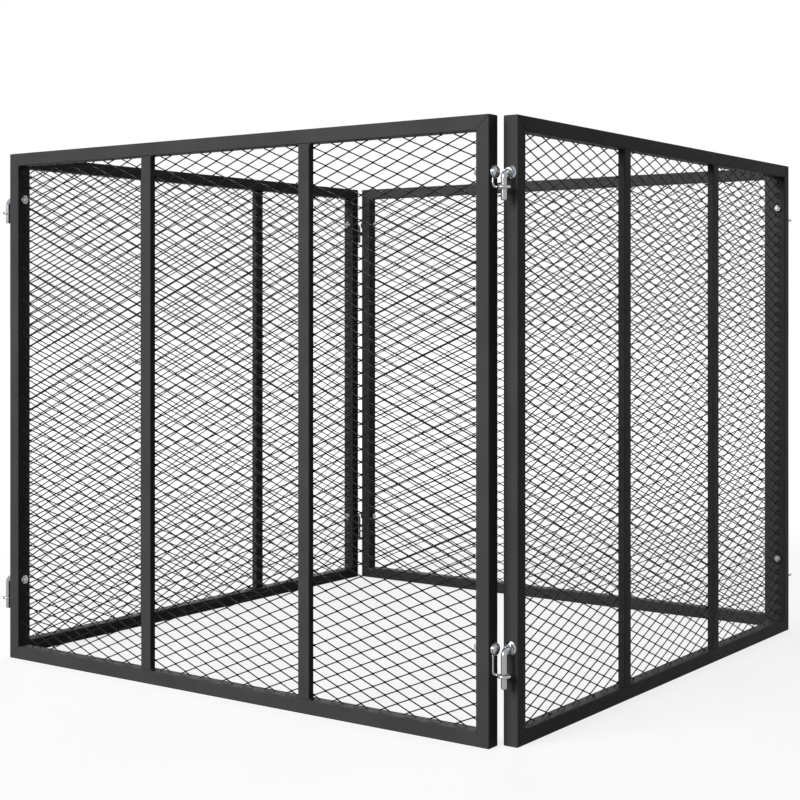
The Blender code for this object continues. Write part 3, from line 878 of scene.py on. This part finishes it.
def diamond_mesh():
    """One panel's sheet of expanded steel, cut back round the bolts' inner ends."""
    sizes, fittings = chosen().net, chosen().fittings
    across, up = half_steps()
    step_x = NET_WIDTH / across
    # The strands' ends at the top and bottom stand half a strand proud of the half step
    lean = math.hypot(1, NET_HEIGHT / up / step_x)
    step_z = (NET_HEIGHT - sizes.strand * lean) / up
    values = {"Width": (across - 1) * step_x, "Height": (up - 1) * step_z}
    values |= {"Columns": across, "Rows": up, "Material": finish("mesh_paint")}
    bm = bmesh.new()
    bm.from_mesh(grown(knuckle_mesh(step_x, step_z), net_tree(), values))
    bmesh.ops.remove_doubles(bm, verts=bm.verts, dist=MERGE_DISTANCE)
    # The open end of a strand at the sheet's edge has eight corners
    bmesh.ops.holes_fill(bm, edges=[edge for edge in bm.edges if edge.is_boundary], sides=8)
    middle = sizes.behind_bars + sizes.thickness / 2
    bmesh.ops.translate(bm, verts=bm.verts, vec=(0, middle, PANEL_HEIGHT / 2))
    rooms = []
    for end, flats, nut in (
        (-1, fittings.hook_flats, fittings.hook_nut),
        (1, fittings.bolt_flats, fittings.bolt_nut),
    ):
        stile = end * (PANEL_WIDTH / 2 - TUBE_FACE / 2)
        reach = TUBE_FACE / 2 + fittings.seat + nut + fittings.thread_end + sizes.bolt_room
        radius = flats / math.sqrt(3) + sizes.bolt_room
        low, high = sorted((stile, stile - end * reach))
        for height in bolt_heights().values():
            rooms.append(cylinder(low, high, radius, height, ROD_SIDES))
    return largest_part(boolean(mesh_of(bm), "DIFFERENCE", *rooms))


# Welds


def weld_tree():
    """Tree that lays a blob of weld on each point."""
    floats = ("Width", "Flatness", "Unevenness")
    tree, add, given = new_tree("Weld blobs", Float=floats, Int=("Seed",))
    blob = add("GeometryNodeMeshIcoSphere", inputs={"Radius": 0.5, "Subdivisions": 2})
    least, most = (
        add("ShaderNodeMath", 1.0, given["Unevenness"], operation=operation)
        for operation in ("SUBTRACT", "ADD")
    )
    limits = {"Min": least, "Max": most, "Seed": given["Seed"]}
    uneven = add("FunctionNodeRandomValue", inputs=limits, data_type="FLOAT")
    full = add("ShaderNodeMath", given["Width"], uneven, operation="MULTIPLY")
    flat = add("ShaderNodeMath", full, given["Flatness"], operation="MULTIPLY")
    scale = add("ShaderNodeCombineXYZ", full, flat, full)
    blobs = {"Points": given["Geometry"], "Instance": blob, "Scale": scale}
    return end_tree(tree, given, add("GeometryNodeInstanceOnPoints", inputs=blobs))


def bead_places():
    """Points along the fillet beads: one up each side of a bar's end, where it meets the rail."""
    sizes = chosen().welds
    # A bead stops short of the bar's edges, and half of each blob stands clear of the corner
    half = BAR_DEPTH / 2 - sizes.bead * 0.7
    tuck = sizes.bead * 0.15
    count = max(1, round(2 * half / sizes.ripple))
    places = []
    for number in (1, 2):
        low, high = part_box(f"front_bar_{number}")
        for x in (low.x - tuck, high.x + tuck):
            for z in (low.z + tuck, high.z - tuck):
                for k in range(count + 1):
                    places.append((x, BAR_MIDDLE + half * (2 * k / count - 1), z))
    return places


def spot_places():
    """Points where a strand's end is spotted to the rails and stiles, clear of the bolts."""
    sizes, net = chosen().welds, chosen().net
    across, up = half_steps()
    step_x, step_z = NET_WIDTH / across, NET_HEIGHT / up
    middle = PANEL_HEIGHT / 2
    clear = chosen().fittings.hook_flats + sizes.spot
    places = []
    # The strands end half a step from the crossings' columns and rows
    for k in range(sizes.every - net.columns, net.columns, 2 * sizes.every):
        for end in (-1, 1):
            places.append(((k + 0.5) * step_x, middle + end * NET_HEIGHT / 2))
    for k in range(sizes.every - net.rows, net.rows, 2 * sizes.every):
        z = middle + (k + 0.5) * step_z
        if all(abs(z - height) > clear for height in bolt_heights().values()):
            places += [(end * NET_WIDTH / 2, z) for end in (-1, 1)]
    return [(x, net.behind_bars + net.thickness / 2, z) for x, z in places]


# Stage

# The camera's place, turn and shift, fitted to the corners and bars in the photograph
CAMERA_PLACE = (1.533, -2.186, 0.564)
CAMERA_TURN = math.radians(35.53)
CAMERA_SHIFT = -0.1146
SENSOR_WIDTH = 36
CLIP_END = 200

# Each lamp's name, place and side. The first is above and left of the near corner, so that all
# that faces right stays dark
LAMPS = (
    ("key", (-1.7, -7.0, 3.5), 4.0),
    ("back", (-4.0, 5.0, 4.0), 3.0),
    ("side", (4.5, 4.5, 4.0), 3.0),
)

# How far the floor lies under the bin's feet, and the share of its light that it throws back up
FLOOR_DROP = 0.0002
FLOOR_BOUNCE = 0.25
# Where the floor is seen, a glow is mixed in: this share of it near the bin, and all of it from
# the second distance on
GLOW_STRENGTH = 1.14
GLOW_SHARE = 0.72
GLOW_FROM, GLOW_TO = 1.2, 3.0


def shown_rays(add):
    """1 for the rays that show the room to the camera, in gloss and through what is clear."""
    rays = add("ShaderNodeLightPath").outputs
    seen = rays["Is Camera Ray"]
    for kind in ("Glossy", "Transmission"):
        seen = add("ShaderNodeMath", seen, rays[f"Is {kind} Ray"], operation="MAXIMUM")
    return seen


def white_room(fill):
    """A world that is white where it is seen and dim where it lights matt surfaces."""
    world = bpy.data.worlds.new("white room")
    add = emptied(world)
    strength = add("ShaderNodeMapRange", shown_rays(add), 0.0, 1.0, fill, 1.0)
    add("ShaderNodeOutputWorld", add("ShaderNodeBackground", (1, 1, 1, 1), strength))
    bpy.context.scene.world = world


def lay_floor(size, paper):
    """White paper: it is lifted to white where it is seen, keeps the bin's shadow, throws little
    light back up, and is plain white further off than the lamps reach."""
    made = bpy.data.materials.new("white paper")
    add = emptied(made)
    seen = shown_rays(add)
    place = add("ShaderNodeTexCoord").outputs["Object"]
    distance = add("ShaderNodeVectorMath", place, operation="LENGTH")
    share = add("ShaderNodeMapRange", distance, GLOW_FROM, GLOW_TO, GLOW_SHARE, 1.0)
    dim = tuple(FLOOR_BOUNCE * c for c in paper[:3]) + (1.0,)
    tones = {"Factor": seen, "A": dim, "B": paper}
    matt = add("ShaderNodeBsdfDiffuse", add("ShaderNodeMix", inputs=tones, data_type="RGBA"))
    glow = add("ShaderNodeEmission", inputs={"Strength": GLOW_STRENGTH})
    lift = add("ShaderNodeMath", seen, share, operation="MULTIPLY")
    add("ShaderNodeOutputMaterial", add("ShaderNodeMixShader", lift, matt, glow))
    half = size / 2
    mesh = bpy.data.meshes.new("floor")
    corners = [(-half, -half), (half, -half), (half, half), (-half, half)]
    mesh.from_pydata([(x, y, -FLOOR_DROP) for x, y in corners], [], [(0, 1, 2, 3)])
    mesh.materials.append(made)
    floor = new_object("floor", mesh)


def soft_lamp(name, place, size, power):
    """A square lamp aimed at the middle of the bin."""
    data = bpy.data.lights.new(name, "AREA")
    data.size = size
    data.energy = power
    lamp = new_object(name, data)
    lamp.location = place
    aim = Vector((0, 0, PANEL_HEIGHT / 2)) - lamp.location
    lamp.rotation_euler = aim.to_track_quat("-Z", "Y").to_euler()


def set_camera(lens):
    """The camera at the photograph's viewpoint."""
    data = bpy.data.cameras.new("camera")
    data.sensor_width = SENSOR_WIDTH
    data.lens = lens
    data.shift_y = CAMERA_SHIFT
    data.clip_end = CLIP_END
    camera = new_object("camera", data)
    camera.location = CAMERA_PLACE
    camera.rotation_euler = (math.pi / 2, 0, CAMERA_TURN)
    bpy.context.scene.camera = camera


# Operators


class BIN_OT_rails_and_stiles(bpy.types.Operator):
    """Makes the mitred rails and the drilled stiles of the four frames"""

    bl_idname = "compost_bin.rails_and_stiles"
    bl_label = "Rails and stiles"

    def execute(self, context):
        # The rail lies along X, its outer edge down
        lie = Matrix(((0, 0, -1, 0), (0, 1, 0, 0), (1, 0, 0, 0), (0, 0, 0, 1)))
        rail = crisp(moved(mitred_tube(PANEL_WIDTH), lie))
        over = Matrix.Translation((0, 0, PANEL_HEIGHT)) @ Matrix.Rotation(math.pi, 4, "Y")
        put_on_panels("bottom_rail", rail, "frame_paint")
        put_on_panels("top_rail", rail, "frame_paint", over)
        sizes = context.scene.compost_bin.tubes
        left = Matrix.Translation((-PANEL_WIDTH / 2, 0, 0))
        right = Matrix.Rotation(math.pi, 4, "Z") @ left
        for end, hole, place in (("left", sizes.hook_hole, left), ("right", sizes.bolt_hole, right)):
            stile = crisp(moved(drilled_stile(hole), place))
            put_on_panels(f"{end}_stile", stile, "frame_paint")
        return {"FINISHED"}


class BIN_OT_upright_bars(bpy.types.Operator):
    """Makes the two thinner upright bars of each panel"""

    bl_idname = "compost_bin.upright_bars"
    bl_label = "Upright bars"

    def execute(self, context):
        half = (BAR_HIGH.z - BAR_LOW.z) / 2
        bar = crisp(tube_mesh(BAR_FACE, BAR_DEPTH, lambda across: half))
        for number in (1, 2):
            low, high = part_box(f"front_bar_{number}")
            place = Matrix.Translation((low.x, BAR_MIDDLE, (low.z + high.z) / 2))
            put_on_panels(f"bar_{number}", bar, "frame_paint", place)
        return {"FINISHED"}


class BIN_OT_diamond_mesh(bpy.types.Operator):
    """Makes the expanded diamond mesh of each panel"""

    bl_idname = "compost_bin.diamond_mesh"
    bl_label = "Diamond mesh"

    def execute(self, context):
        put_on_panels("mesh", diamond_mesh(), "mesh_paint")
        return {"FINISHED"}


class BIN_OT_welds(bpy.types.Operator):
    """Makes the fillet beads at the bars' ends and the spot welds that hold the diamond mesh"""

    bl_idname = "compost_bin.welds"
    bl_label = "Welds"

    def execute(self, context):
        tree = weld_tree()
        sizes = context.scene.compost_bin.welds
        for kind, places, width, flatness, unevenness in (
            ("bar_beads", bead_places(), sizes.bead, 1.0, 0.08),
            ("spot_welds", spot_places(), sizes.spot, 0.7, 0.15),
        ):
            points = bpy.data.meshes.new(kind)
            points.from_pydata(places, [], [])
            values = {"Width": width, "Flatness": flatness, "Unevenness": unevenness}
            values |= {"Seed": sizes.seed, "Material": finish("frame_paint")}
            welds = grown(points, tree, values)
            welds.shade_smooth()
            put_on_panels(kind, welds, "frame_paint", stands_for_node=False)
        return {"FINISHED"}


def put_fittings(kind, make, end):
    """Makes a fitting for both levels and puts it on the panels' hook end or eye end."""
    sizes = chosen().fittings
    heights = bolt_heights()
    for level, rise in (("top", sizes.top_rise), ("bottom", sizes.bottom_rise)):
        place = Matrix.Translation((end * PANEL_OUT, 0, heights[level] - rise))
        put_on_panels(f"{level}_{kind}", crisp(make(rise)), "zinc", place)
    return {"FINISHED"}


class BIN_OT_hook_bolts(bpy.types.Operator):
    """Makes the bent hook bolts with their threads and inner nuts"""

    bl_idname = "compost_bin.hook_bolts"
    bl_label = "Hook bolts"

    def execute(self, context):
        return put_fittings("hook_bolt", hook_bolt, -1)


class BIN_OT_flange_nuts(bpy.types.Operator):
    """Makes the flange nuts between the hooks and the stiles"""

    bl_idname = "compost_bin.flange_nuts"
    bl_label = "Flange nuts"

    def execute(self, context):
        return put_fittings("hook_nut", flange_nut, -1)


class BIN_OT_ring_eyes(bpy.types.Operator):
    """Makes the forged ring eyes that the hooks hang in"""

    bl_idname = "compost_bin.ring_eyes"
    bl_label = "Ring eyes"

    def execute(self, context):
        return put_fittings("eye", ring_eye, 1)


class BIN_OT_domed_bolts(bpy.types.Operator):
    """Makes the domed bolts that hold the eyes, with their threads and inner nuts"""

    bl_idname = "compost_bin.domed_bolts"
    bl_label = "Domed bolts"

    def execute(self, context):
        return put_fittings("eye_bolt", domed_bolt, 1)


class BIN_OT_stage(bpy.types.Operator):
    """Makes the white floor and room, the soft lamps and the camera"""

    bl_idname = "compost_bin.stage"
    bl_label = "Stage"

    def execute(self, context):
        sizes = context.scene.compost_bin.stage
        white_room(sizes.fill)
        lay_floor(sizes.floor_size, context.scene.compost_bin.finishes.floor)
        for name, place, size in LAMPS:
            soft_lamp(name + " lamp", place, size, getattr(sizes, name))
        set_camera(sizes.lens)
        context.scene.view_settings.view_transform = "Standard"
        return {"FINISHED"}


OPERATORS = (
    BIN_OT_rails_and_stiles,
    BIN_OT_upright_bars,
    BIN_OT_diamond_mesh,
    BIN_OT_welds,
    BIN_OT_hook_bolts,
    BIN_OT_flange_nuts,
    BIN_OT_ring_eyes,
    BIN_OT_domed_bolts,
    BIN_OT_stage,
)


class BIN_PT_sidebar(bpy.types.Panel):
    """The bin's operators, in the order that they are run in"""

    bl_idname = "BIN_PT_sidebar"
    bl_label = "Wire compost bin"
    bl_space_type = "VIEW_3D"
    bl_region_type = "UI"
    bl_category = "Compost Bin"

    def draw(self, context):
        for group in BinSettings.__annotations__:
            box = self.layout.box()
            settings = getattr(context.scene.compost_bin, group)
            for name in type(settings).__annotations__:
                box.prop(settings, name)
        for operator in OPERATORS:
            self.layout.operator(operator.bl_idname)


# The last group points to the ones before it
GROUPS = (TubeSizes, MeshSizes, WeldSizes, FittingSizes, FinishColours, StageSizes, BinSettings)
CLASSES = (*GROUPS, *OPERATORS, BIN_PT_sidebar)


def register():
    for made in CLASSES:
        bpy.utils.register_class(made)
    bpy.types.Scene.compost_bin = PointerProperty(type=BinSettings)


def unregister():
    del bpy.types.Scene.compost_bin
    for made in reversed(CLASSES):
        bpy.utils.unregister_class(made)


def main():
    register()
    bpy.ops.compost_bin.rails_and_stiles()
    bpy.ops.compost_bin.upright_bars()
    bpy.ops.compost_bin.diamond_mesh()
    bpy.ops.compost_bin.welds()
    bpy.ops.compost_bin.hook_bolts()
    bpy.ops.compost_bin.flange_nuts()
    bpy.ops.compost_bin.ring_eyes()
    bpy.ops.compost_bin.domed_bolts()
    bpy.ops.compost_bin.stage()


if __name__ == "__main__":
    main()
